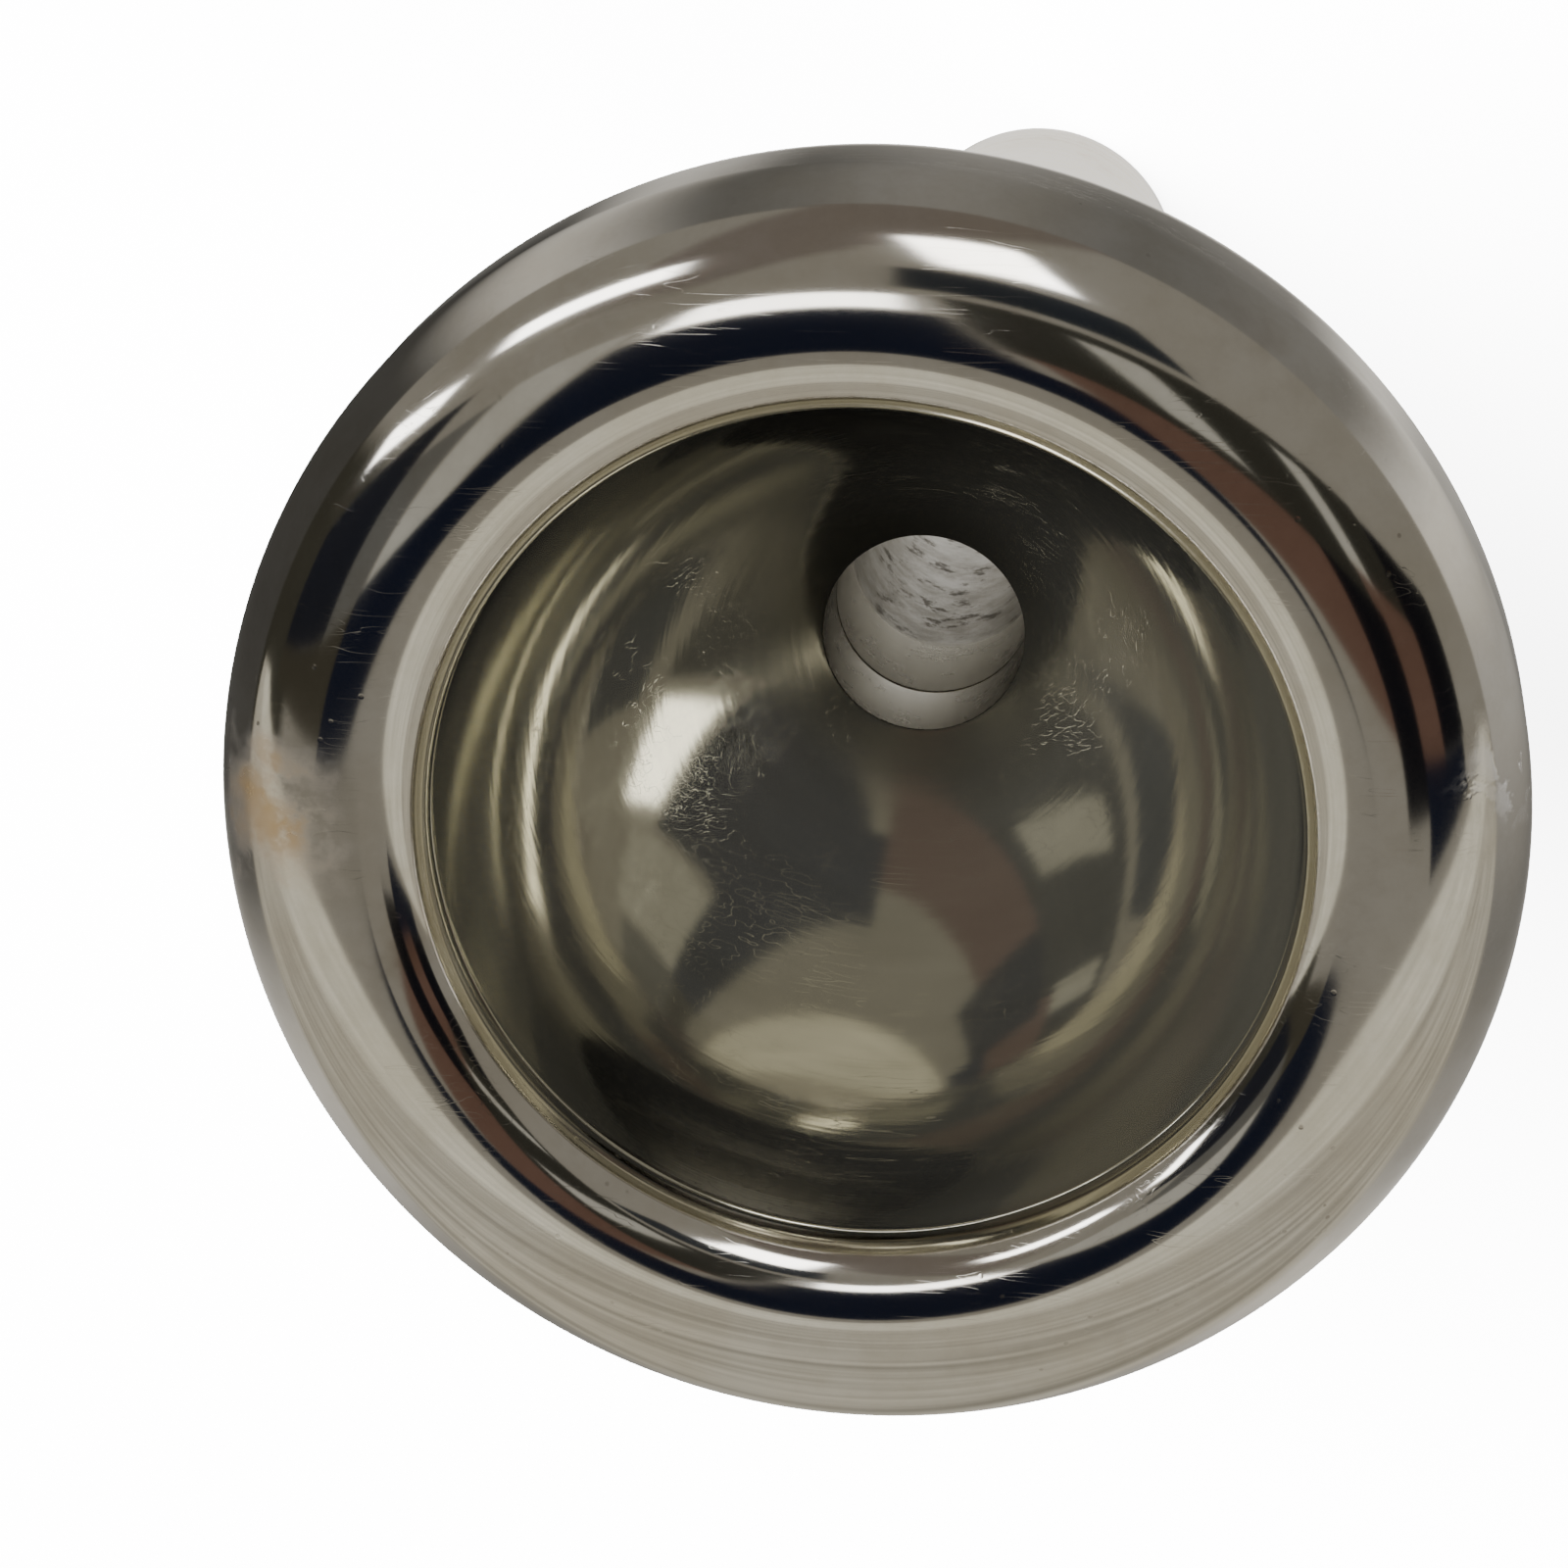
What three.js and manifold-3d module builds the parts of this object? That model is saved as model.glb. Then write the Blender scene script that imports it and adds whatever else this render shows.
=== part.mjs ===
// A three-piece cup mouthpiece for a trombone or other low brass instrument.
// Units are millimetres, +Z is up. The mouthpiece stands on its shank end, with the cup facing up,
// and the origin is the centre of the shank's end face.
//
// The rim screws onto the cup, and the cup screws onto the shank. Each screw joint has a male thread
// on the lower piece and a female thread in the upper one, with an O-ring in a groove near its mouth.
// Heights in the upper half are given as depths below the bite edge, the rim's sharp inner edge.

import * as THREE from 'three';
import { mergeVertices } from 'three/addons/utils/BufferGeometryUtils.js';
import Module from 'manifold-3d';

const wasm = await Module();
wasm.setup();

// Overall sizes
const overall_length = 83.0; // shank end to the crest of the rim
const bite_radius = 12.85; // inside of the rim
const rim_width = 6.6; // bite edge to the outside of the rim
const throat_radius = 3.41;
const throat_depth = 20.7; // bite edge down to the throat's edge

// Rim outline
const crest_height = 1.7; // crest above the bite edge
const crest_inset = 2.3; // bite edge to crest
const shoulder_depth = 2.2; // where the rounded face meets the outer band
const band_height = 2.4;
const under_width = 2.15; // how far the rounded underside draws in
const bite_land = 0.5; // short straight wall under the bite edge

// Cup outline
const bowl_upper_fullness = 10.6; // straight-down pull of the bowl's curve at the bite edge
const bowl_lower_fullness = 8.0; // pull along the funnel at the throat
const funnel_angle = THREE.MathUtils.degToRad(49.6); // funnel wall above horizontal, at the throat
const cup_throat_length = 4.2; // straight throat that belongs to the cup
const cup_top_pull = 9.0; // how long the outside stays wide
const cup_waist_pull = 9.5; // how long the waist stays narrow

// Shank
const shank_end_radius = 6.35;
const shank_taper = 1 / 19.2; // diameter per length, as in common receivers
const throat_length = 10.3; // straight part, cup and shank together
const bore_end_radius = 5.2; // backbore at the shank end
const bore_fullness = 0.65; // 1 makes the backbore a straight cone at its open end
const collar_height = 2.5;
const cove_height = 2.2;
const edge_chamfer = 0.3;

// Screw joints
const thread_pitch = 1.0;
const thread_depth = 0.45;
const thread_root_width = 0.72;
const thread_turns = 3;
const flank_slope = Math.tan(THREE.MathUtils.degToRad(30));
const thread_gap = 0.15; // radial clearance at crest, root and landing
const flank_gap = 0.1; // axial clearance on each flank
const seat_gap = 0.1; // clearance at each seated face
const lead_in = 0.5; // plain nose before the thread starts
const nose_chamfer = 0.35;
const relief_height = 0.6; // plain groove above the female thread
const landing_step = 0.8; // landing surface outside the thread's crest
const landing_gap = 0.2; // axial clearance above the landing
const spigot_wall = 1.2; // bowl wall inside the rim's thread
const throat_wall = 2.04; // throat wall inside the shank's thread

// O-rings
const seal_section = 1.2;
const seal_gap = 0.1; // clearance to the landing and to each groove wall
const seal_offset = 0.6; // groove's upper wall below the landing's top
const mouth_wall = 1.0; // plain wall between the groove and the mouth
const socket_wall = 1.25; // metal outside the shank joint's groove

// Facets
const round_segments = 48;
const thread_segments = 32; // per turn
const embed = 0.3; // how far a thread ridge is buried in its core

const bite_height = overall_length - crest_height;
const rim_radius = bite_radius + rim_width;

// The sizes of one screw joint, from the seat face at its top down to the mouth.
function screwJoint(seat, core_radius) {
  const top = seat - seat_gap;
  const thread_top = top - lead_in - thread_root_width / 2;
  const thread_bottom = thread_top - thread_turns * thread_pitch;
  const step = thread_bottom - thread_root_width;
  const crest_radius = core_radius + thread_depth;
  const landing_radius = crest_radius + landing_step;
  const groove_top = step - seal_offset;
  const groove_bottom = groove_top - seal_section - 2 * seal_gap;
  const mouth = groove_bottom - mouth_wall;
  return {
    seat,
    top,
    thread_top,
    thread_bottom,
    step,
    core_radius,
    crest_radius,
    landing_radius,
    groove_top,
    groove_bottom,
    groove_radius: landing_radius + seal_section + 2 * seal_gap,
    mouth,
    shoulder: mouth - seat_gap,
  };
}

const rim_joint = screwJoint(bite_height - bite_land, bite_radius + spigot_wall);
const shank_joint = screwJoint(
  bite_height - throat_depth - cup_throat_length,
  throat_radius + throat_wall,
);

// Outside radii at the two seams, which both neighbours share.
const rim_seam_radius = rim_radius - under_width;
const waist_radius = shank_joint.groove_radius + socket_wall;

// Outlines are lists of [radius, height], clockwise with the radius to the right.

// From the nose of a spigot down its outside to its shoulder.
function spigotOutline(joint) {
  return [
    [joint.core_radius, joint.step - landing_gap],
    [joint.landing_radius, joint.step - landing_gap],
    [joint.landing_radius, joint.shoulder],
  ];
}

// From the mouth of a socket up its inside to the seat face.
function socketOutline(joint) {
  const thread_bore = joint.core_radius + thread_gap;
  const landing_bore = joint.landing_radius + thread_gap;
  const relief_radius = joint.crest_radius + 2 * thread_gap;
  return [
    [landing_bore, joint.mouth],
    [landing_bore, joint.groove_bottom],
    [joint.groove_radius, joint.groove_bottom],
    [joint.groove_radius, joint.groove_top],
    [landing_bore, joint.groove_top],
    [landing_bore, joint.step],
    [thread_bore, joint.step],
    [thread_bore, joint.seat - relief_height],
    [relief_radius, joint.seat - relief_height],
    [relief_radius, joint.seat],
  ];
}

// Points along an ellipse's arc, angles in degrees anticlockwise from the radius direction.
function ellipseArc(radius, height, half_width, half_height, from, to, steps) {
  const points = [];
  for (let i = 0; i <= steps; i += 1) {
    const angle = THREE.MathUtils.degToRad(from + ((to - from) * i) / steps);
    points.push([radius + half_width * Math.cos(angle), height + half_height * Math.sin(angle)]);
  }
  return points;
}

// Points along a cubic curve, both ends included.
function cubicArc(corners, steps) {
  const curve = new THREE.CubicBezierCurve(...corners.map(([x, y]) => new THREE.Vector2(x, y)));
  return curve.getPoints(steps).map((point) => [point.x, point.y]);
}

// A closed outline revolved about Z. Taken backwards, a clockwise outline gives faces that point out.
function revolved(outline) {
  const points = [...outline, outline[0]].map(([x, y]) => new THREE.Vector2(x, y)).reverse();
  const geometry = new THREE.LatheGeometry(points, round_segments);
  return geometry.rotateX(Math.PI / 2);
}

// A right-hand helix about Z, from its upper end down. Across it, x is outwards and y is up, so that
// a section swept along it keeps square to the axis.
class ThreadHelix extends THREE.Curve {
  constructor(radius, top, bottom, datum) {
    super();
    this.radius = radius;
    this.top = top;
    this.bottom = bottom;
    this.datum = datum;
  }

  heightAt(t) {
    return THREE.MathUtils.lerp(this.top, this.bottom, t);
  }

  outwardAt(t) {
    const angle = (2 * Math.PI * (this.heightAt(t) - this.datum)) / thread_pitch;
    return new THREE.Vector3(Math.cos(angle), Math.sin(angle), 0);
  }

  getPoint(t) {
    return this.outwardAt(t).multiplyScalar(this.radius).setZ(this.heightAt(t));
  }

  computeFrenetFrames(segments) {
    const frames = { tangents: [], normals: [], binormals: [] };
    for (let i = 0; i <= segments; i += 1) {
      const outward = this.outwardAt(i / segments);
      const upward = new THREE.Vector3(0, 0, 1);
      frames.normals.push(outward);
      frames.binormals.push(upward);
      frames.tangents.push(outward.clone().cross(upward));
    }
    return frames;
  }
}

// A thread's ridge, or with its clearances the groove that takes it.
function threadSweep(joint, top, bottom, radial_gap, axial_gap) {
  const height = thread_depth + radial_gap;
  const inner_half = thread_root_width / 2 + axial_gap + embed * flank_slope;
  const outer_half = thread_root_width / 2 + axial_gap - height * flank_slope;
  const section = new THREE.Shape([
    new THREE.Vector2(-embed, -inner_half),
    new THREE.Vector2(height, -outer_half),
    new THREE.Vector2(height, outer_half),
    new THREE.Vector2(-embed, inner_half),
  ]);
  const steps = Math.round(((top - bottom) / thread_pitch) * thread_segments);
  return new THREE.ExtrudeGeometry(section, {
    steps,
    extrudePath: new ThreadHelix(joint.core_radius, top, bottom, joint.seat),
  });
}

function maleThread(joint) {
  return threadSweep(joint, joint.thread_top, joint.thread_bottom, 0, 0);
}

// The female thread's groove runs out into the relief above and the landing bore below.
function femaleThread(joint) {
  const top = joint.seat - relief_height / 2 - thread_root_width / 2;
  const bottom = joint.step - thread_pitch / 2;
  return threadSweep(joint, top, bottom, thread_gap, flank_gap);
}

function toManifold(geometry) {
  geometry.deleteAttribute('normal');
  geometry.deleteAttribute('uv');
  const merged = mergeVertices(geometry);
  return new wasm.Manifold(
    new wasm.Mesh({
      numProp: 3,
      vertProperties: new Float32Array(merged.attributes.position.array),
      triVerts: new Uint32Array(merged.index.array),
    }),
  );
}

function toGeometry(manifold) {
  const mesh = manifold.getMesh();
  const geometry = new THREE.BufferGeometry();
  geometry.setAttribute('position', new THREE.BufferAttribute(mesh.vertProperties, 3));
  geometry.setIndex(new THREE.BufferAttribute(mesh.triVerts, 1));
  geometry.computeVertexNormals();
  return geometry;
}

function metal(color, roughness) {
  return new THREE.MeshStandardMaterial({ color, roughness, metalness: 1 });
}

function rubber() {
  return new THREE.MeshStandardMaterial({ color: 0x1c1b1a, roughness: 0.7, metalness: 0 });
}

function namedMesh(name, geometry, material) {
  const mesh = new THREE.Mesh(geometry, material);
  mesh.name = name;
  return mesh;
}

// The screw-on rim: rounded lip, outer band, rounded underside and threaded skirt.
function rim() {
  const crest_radius = bite_radius + crest_inset;
  const shoulder_height = bite_height - shoulder_depth;
  const band_bottom = shoulder_height - band_height;
  const under_drop = band_bottom - rim_joint.mouth;
  const outline = [
    ...socketOutline(rim_joint),
    [bite_radius, rim_joint.seat],
    ...ellipseArc(crest_radius, bite_height, crest_inset, crest_height, 180, 90, 5),
    ...ellipseArc(
      crest_radius,
      shoulder_height,
      rim_radius - crest_radius,
      bite_height + crest_height - shoulder_height,
      90,
      0,
      8,
    ).slice(1),
    ...cubicArc(
      [
        [rim_radius, band_bottom],
        [rim_radius, band_bottom - under_drop / 2],
        [rim_seam_radius + under_width / 2, rim_joint.mouth],
        [rim_seam_radius, rim_joint.mouth],
      ],
      6,
    ),
  ];
  const body = toManifold(revolved(outline)).subtract(toManifold(femaleThread(rim_joint)));
  return namedMesh('rim', toGeometry(body), metal(0xb8b4aa, 0.16));
}

// The bowl: male thread for the rim at the top, socket for the shank at the base.
function cup() {
  const throat_edge = bite_height - throat_depth;
  const waist_top = shank_joint.step;
  const outline = [
    [bite_radius, rim_joint.top],
    [rim_joint.core_radius - nose_chamfer, rim_joint.top],
    [rim_joint.core_radius, rim_joint.top - nose_chamfer],
    ...spigotOutline(rim_joint),
    ...cubicArc(
      [
        [rim_seam_radius, rim_joint.shoulder],
        [rim_seam_radius, rim_joint.shoulder - cup_top_pull],
        [waist_radius, waist_top + cup_waist_pull],
        [waist_radius, waist_top],
      ],
      10,
    ),
    [waist_radius, shank_joint.mouth + edge_chamfer],
    [waist_radius - edge_chamfer, shank_joint.mouth],
    ...socketOutline(shank_joint),
    [throat_radius, shank_joint.seat],
    ...cubicArc(
      [
        [throat_radius, throat_edge],
        [
          throat_radius + bowl_lower_fullness * Math.cos(funnel_angle),
          throat_edge + bowl_lower_fullness * Math.sin(funnel_angle),
        ],
        [bite_radius, bite_height - bowl_upper_fullness],
        [bite_radius, rim_joint.top],
      ],
      14,
    ).slice(0, -1),
  ];
  const body = toManifold(revolved(outline))
    .add(toManifold(maleThread(rim_joint)))
    .subtract(toManifold(femaleThread(shank_joint)));
  return namedMesh('cup', toGeometry(body), metal(0x8d897c, 0.24));
}

// The shank: threaded top, collar, tapered stem, and a backbore that widens to the end.
function shank() {
  const collar_bottom = shank_joint.shoulder - collar_height;
  const stem_top = collar_bottom - cove_height;
  const stem_top_radius = shank_end_radius + (stem_top * shank_taper) / 2;
  const straight_end = bite_height - throat_depth - throat_length;
  const outline = [
    [throat_radius, shank_joint.top],
    [shank_joint.core_radius - nose_chamfer, shank_joint.top],
    [shank_joint.core_radius, shank_joint.top - nose_chamfer],
    ...spigotOutline(shank_joint),
    [waist_radius - edge_chamfer, shank_joint.shoulder],
    [waist_radius, shank_joint.shoulder - edge_chamfer],
    ...cubicArc(
      [
        [waist_radius, collar_bottom],
        [stem_top_radius + edge_chamfer, collar_bottom],
        [stem_top_radius, collar_bottom - edge_chamfer],
        [stem_top_radius, stem_top],
      ],
      6,
    ),
    [shank_end_radius, edge_chamfer],
    [shank_end_radius - edge_chamfer, 0],
    ...cubicArc(
      [
        [bore_end_radius, 0],
        [THREE.MathUtils.lerp(throat_radius, bore_end_radius, bore_fullness), straight_end / 3],
        [throat_radius, (2 * straight_end) / 3],
        [throat_radius, straight_end],
      ],
      8,
    ),
  ];
  const body = toManifold(revolved(outline)).add(toManifold(maleThread(shank_joint)));
  return namedMesh('shank', toGeometry(body), metal(0xb8b4aa, 0.18));
}

// An O-ring in the middle of its groove.
function seal(name, joint) {
  const ring_radius = joint.landing_radius + seal_gap + seal_section / 2;
  const geometry = new THREE.TorusGeometry(ring_radius, seal_section / 2, 8, round_segments);
  const ring = namedMesh(name, geometry, rubber());
  ring.position.z = (joint.groove_top + joint.groove_bottom) / 2;
  return ring;
}

const mouthpiece = new THREE.Group();
mouthpiece.add(rim());
mouthpiece.add(seal('rim_seal', rim_joint));
mouthpiece.add(cup());
mouthpiece.add(seal('shank_seal', shank_joint));
mouthpiece.add(shank());

export default mouthpiece;
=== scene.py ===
# %% [markdown]
# # A three-piece cup mouthpiece
#
# This lesson finishes a silver-plated brass mouthpiece for a trombone or euphonium: a screw-on rim, a
# cup, a shank, and the two rubber O-rings in its screw joints. The working model gives the sizes and the
# motion. Here every piece gets its fine surface: turned outlines, real threads, and worn silver plate.

# %% Load the working model
import math
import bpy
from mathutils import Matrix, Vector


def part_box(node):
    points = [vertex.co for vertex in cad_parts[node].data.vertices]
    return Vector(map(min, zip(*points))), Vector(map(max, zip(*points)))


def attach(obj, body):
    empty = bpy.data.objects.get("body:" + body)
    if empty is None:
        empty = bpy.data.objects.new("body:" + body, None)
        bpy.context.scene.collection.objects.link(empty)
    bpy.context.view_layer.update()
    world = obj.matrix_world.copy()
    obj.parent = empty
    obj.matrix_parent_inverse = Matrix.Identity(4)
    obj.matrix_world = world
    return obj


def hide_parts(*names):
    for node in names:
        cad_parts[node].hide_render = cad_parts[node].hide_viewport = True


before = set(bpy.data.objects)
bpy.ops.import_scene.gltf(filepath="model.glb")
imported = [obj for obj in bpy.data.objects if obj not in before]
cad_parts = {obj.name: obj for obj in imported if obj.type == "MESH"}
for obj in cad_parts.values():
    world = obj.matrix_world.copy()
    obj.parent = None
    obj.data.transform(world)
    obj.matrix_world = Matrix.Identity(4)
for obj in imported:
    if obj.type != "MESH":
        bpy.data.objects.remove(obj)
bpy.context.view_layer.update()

from types import SimpleNamespace

import bpy
from mathutils import Matrix, Vector

MM = 0.001

# %% [markdown]
# ## Sizes
#
# Most sizes are read from the boxes of the working model's pieces. The few that a box can't give, such as
# the bite radius or the depth of a thread, are repeated here in millimetres. Radii and heights are in
# millimetres too, and they become metres only when a mesh is made.

# %% Read the sizes that the boxes give
def low_and_high(node):
    low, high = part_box(node)
    return low / MM, high / MM


rim_low, rim_high = low_and_high("rim")
cup_low, cup_high = low_and_high("cup")
shank_high = low_and_high("shank")[1]

crest_z = rim_high.z
rim_radius = rim_high.x
cup_radius = cup_high.x
waist_radius = shank_high.x
print(f"rim {2 * rim_radius:.1f} wide, crest at {crest_z:.1f}, waist {2 * waist_radius:.1f} wide")

# %% Name the sizes that the boxes can't give
bite_radius = 12.85
crest_height = 1.7
crest_inset = 2.3
shoulder_depth = 2.2
band_height = 2.4
bite_land = 0.5

throat_radius = 3.41
throat_depth = 20.7
cup_throat_length = 4.2
throat_length = 10.3
funnel_angle = math.radians(49.6)
bowl_upper_fullness = 10.6
bowl_lower_fullness = 8.0
cup_top_pull = 9.0
cup_waist_pull = 9.5

shank_end_radius = 6.35
shank_taper = 1 / 19.2
bore_end_radius = 5.2
bore_fullness = 0.65
collar_height = 2.5
cove_height = 2.2

thread_pitch = 1.0
thread_depth = 0.45
thread_root_width = 0.72
thread_turns = 3
thread_gap = 0.15
flank_gap = 0.1
flank_slope = math.tan(math.radians(30))
seat_gap = 0.1
lead_in = 0.5
relief_height = 0.6
landing_step = 0.8
landing_gap = 0.2
spigot_wall = 1.2
throat_wall = 2.04
seal_section = 1.2
seal_gap = 0.1
seal_offset = 0.6

bite_z = crest_z - crest_height
throat_z = bite_z - throat_depth
print(f"bite edge at {bite_z:.1f}, throat edge at {throat_z:.1f}")

# %% [markdown]
# ## The two screw joints
#
# Both joints are cut the same way: a nose, three turns of thread, a smooth landing that the O-ring seals
# on, and a shoulder. One function works out the heights and radii, so the male and the female side of a
# joint can't disagree.

# %% Work out a screw joint
def screw_joint(seat, core_radius, mouth):
    top = seat - seat_gap
    thread_top = top - lead_in - thread_root_width / 2
    thread_bottom = thread_top - thread_turns * thread_pitch
    step = thread_bottom - thread_root_width
    landing_radius = core_radius + thread_depth + landing_step
    groove_top = step - seal_offset
    return SimpleNamespace(
        seat=seat,
        top=top,
        thread_top=thread_top,
        thread_bottom=thread_bottom,
        step=step,
        core_radius=core_radius,
        crest_radius=core_radius + thread_depth,
        landing_radius=landing_radius,
        groove_top=groove_top,
        groove_bottom=groove_top - seal_section - 2 * seal_gap,
        groove_radius=landing_radius + seal_section + 2 * seal_gap,
        mouth=mouth,
        shoulder=mouth - seat_gap,
    )


rim_joint = screw_joint(bite_z - bite_land, bite_radius + spigot_wall, rim_low.z)
shank_joint = screw_joint(throat_z - cup_throat_length, throat_radius + throat_wall, cup_low.z)
for label, joint in (("rim", rim_joint), ("shank", shank_joint)):
    print(f"{label} joint: thread {2 * joint.crest_radius:.1f} wide, seat at {joint.seat:.2f}")

# %% [markdown]
# ## Turning a piece
#
# Everything here was made on a lathe, so everything is an outline spun round the axis. An outline is a
# list of corners, each with its radius, its height and the rounding that the tool or the polishing wheel
# left there. A real edge is never perfectly sharp, and that small rounding is what catches the light.

# %% Draw an outline with rounded corners and curves
def rounded(corners, steps=5):
    """Replaces each (radius, height, rounding) corner of a closed outline by a small curve."""
    longest_share = 0.45
    points = []
    for index, (radius, height, rounding) in enumerate(corners):
        corner = Vector((radius, height))
        if rounding == 0:
            points.append(corner)
            continue
        before = Vector(corners[index - 1][:2]) - corner
        after = Vector(corners[(index + 1) % len(corners)][:2]) - corner
        start = corner + before.normalized() * min(rounding, before.length * longest_share)
        end = corner + after.normalized() * min(rounding, after.length * longest_share)
        for step in range(steps + 1):
            share = step / steps
            points.append(start.lerp(corner, share).lerp(corner.lerp(end, share), share))
    return points


def plain(points):
    """Marks points that need no rounding."""
    return [(x, y, 0) for x, y in points]


def ellipse_arc(centre, half_sizes, start, end, steps):
    """Points on an ellipse between two angles in degrees."""
    points = []
    for step in range(steps + 1):
        angle = math.radians(start + (end - start) * step / steps)
        radius = centre[0] + half_sizes[0] * math.cos(angle)
        height = centre[1] + half_sizes[1] * math.sin(angle)
        points.append((radius, height))
    return points


def cubic(start, pull_start, pull_end, end, steps):
    """Points on a cubic curve, which leaves start towards one pull and reaches end from the other."""
    corners = [Vector(point) for point in (start, pull_start, pull_end, end)]
    points = []
    for step in range(steps + 1):
        share = step / steps
        level = corners
        while len(level) > 1:
            level = [a.lerp(b, share) for a, b in zip(level, level[1:])]
        points.append(tuple(level[0]))
    return points


# %% Spin an outline into a solid
def select_only(piece):
    bpy.ops.object.select_all(action="DESELECT")
    piece.select_set(True)
    bpy.context.view_layer.objects.active = piece


def turned(name, corners, steps=240):
    """Extrudes one vertex round the outline, then spins the closed loop a full turn."""
    outline = rounded(corners)
    bpy.ops.object.select_all(action="DESELECT")
    bpy.ops.mesh.primitive_plane_add(size=MM)
    piece = bpy.context.object
    piece.name = piece.data.name = name
    bpy.ops.object.mode_set(mode="EDIT")
    bpy.ops.mesh.select_all(action="SELECT")
    bpy.ops.mesh.merge(type="CENTER")
    bpy.ops.transform.translate(value=(outline[0].x * MM, 0, outline[0].y * MM))
    for here, there in zip(outline, outline[1:] + outline[:1]):
        move = (there - here) * MM
        bpy.ops.mesh.extrude_region_move(TRANSFORM_OT_translate={"value": (move.x, 0, move.y)})
    bpy.ops.mesh.select_all(action="SELECT")
    bpy.ops.mesh.remove_doubles(threshold=0.001 * MM)
    bpy.ops.mesh.spin(steps=steps, angle=2 * math.pi, center=(0, 0, 0), axis=(0, 0, 1))
    bpy.ops.mesh.select_all(action="SELECT")
    bpy.ops.mesh.remove_doubles(threshold=0.001 * MM)
    bpy.ops.mesh.normals_make_consistent(inside=False)
    bpy.ops.object.mode_set(mode="OBJECT")
    print(f"{name}: {len(outline)} outline points, {len(piece.data.polygons)} faces")
    return piece


# %% [markdown]
# ## Cutting a thread
#
# A thread is a small trapezoid wound up a helix. The Screw modifier winds it, the two open ends are
# filled, and a Boolean modifier joins it to a spigot or cuts it out of a socket. The cutter is the same
# shape made a little bigger, which is the clearance that lets a real thread turn.

# %% Wind a thread
def wound_thread(joint, top, bottom, radial_gap, axial_gap):
    embed = 0.3
    steps_per_turn = 96
    height = thread_depth + radial_gap
    inner_half = thread_root_width / 2 + axial_gap + embed * flank_slope
    outer_half = thread_root_width / 2 + axial_gap - height * flank_slope
    inner_radius = joint.core_radius - embed
    outer_radius = joint.core_radius + height
    section = [
        (inner_radius, bottom - inner_half),
        (outer_radius, bottom - outer_half),
        (outer_radius, bottom + outer_half),
        (inner_radius, bottom + inner_half),
    ]
    bpy.ops.object.select_all(action="DESELECT")
    bpy.ops.mesh.primitive_plane_add(size=MM)
    thread = bpy.context.object
    start = 2 * math.pi * (bottom - joint.seat) / thread_pitch
    loop = [thread.data.loops[i].vertex_index for i in thread.data.polygons[0].loop_indices]
    for vertex, (radius, z) in zip(loop, section):
        place = Vector((radius * math.cos(start), radius * math.sin(start), z))
        thread.data.vertices[vertex].co = place * MM
    bpy.ops.object.mode_set(mode="EDIT")
    bpy.ops.mesh.select_all(action="SELECT")
    bpy.ops.mesh.delete(type="ONLY_FACE")
    bpy.ops.object.mode_set(mode="OBJECT")

    turns = (top - bottom) / thread_pitch
    winding = thread.modifiers.new("winding", "SCREW")
    winding.angle = 2 * math.pi * turns
    winding.screw_offset = (top - bottom) * MM
    winding.steps = winding.render_steps = round(steps_per_turn * turns)
    winding.use_merge_vertices = False
    bpy.ops.object.modifier_apply(modifier=winding.name)
    bpy.ops.object.mode_set(mode="EDIT")
    bpy.ops.mesh.select_mode(type="EDGE")
    bpy.ops.mesh.select_all(action="DESELECT")
    bpy.ops.mesh.select_non_manifold()
    bpy.ops.mesh.fill_holes(sides=4)
    bpy.ops.mesh.select_all(action="SELECT")
    bpy.ops.mesh.normals_make_consistent(inside=False)
    bpy.ops.mesh.select_mode(type="VERT")
    bpy.ops.object.mode_set(mode="OBJECT")
    return thread


def combine(piece, thread, operation):
    select_only(piece)
    cut = piece.modifiers.new("thread", "BOOLEAN")
    cut.object = thread
    cut.operation = operation
    cut.solver = "EXACT"
    bpy.ops.object.modifier_apply(modifier=cut.name)
    bpy.data.objects.remove(thread)
    print(f"{piece.name}: thread {operation.lower()}, {len(piece.data.polygons)} faces")


def add_male_thread(piece, joint):
    combine(piece, wound_thread(joint, joint.thread_top, joint.thread_bottom, 0, 0), "UNION")


def cut_female_thread(piece, joint):
    top = joint.seat - relief_height / 2 - thread_root_width / 2
    bottom = joint.step - thread_pitch / 2
    combine(piece, wound_thread(joint, top, bottom, thread_gap, flank_gap), "DIFFERENCE")


# %% [markdown]
# ## The outlines of a joint
#
# Both outlines run clockwise, with the radius to the right. The spigot's goes down the outside of the
# lower piece, and the socket's goes up the inside of the upper one.

# %% Draw the spigot and the socket
def spigot(joint, inner_radius):
    nose = 0.35
    return [
        (inner_radius, joint.top, 0.1),
        (joint.core_radius - nose, joint.top, 0.08),
        (joint.core_radius, joint.top - nose, 0.08),
        (joint.core_radius, joint.step - landing_gap, 0),
        (joint.landing_radius, joint.step - landing_gap, 0.15),
        (joint.landing_radius, joint.shoulder, 0),
    ]


def socket(joint, inner_radius):
    thread_bore = joint.core_radius + thread_gap
    landing_bore = joint.landing_radius + thread_gap
    relief_radius = joint.crest_radius + 2 * thread_gap
    return [
        (landing_bore, joint.mouth, 0.12),
        (landing_bore, joint.groove_bottom, 0.08),
        (joint.groove_radius, joint.groove_bottom, 0),
        (joint.groove_radius, joint.groove_top, 0),
        (landing_bore, joint.groove_top, 0.08),
        (landing_bore, joint.step, 0),
        (thread_bore, joint.step, 0.08),
        (thread_bore, joint.seat - relief_height, 0),
        (relief_radius, joint.seat - relief_height, 0),
        (relief_radius, joint.seat, 0),
        (inner_radius, joint.seat, 0.06),
    ]


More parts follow.
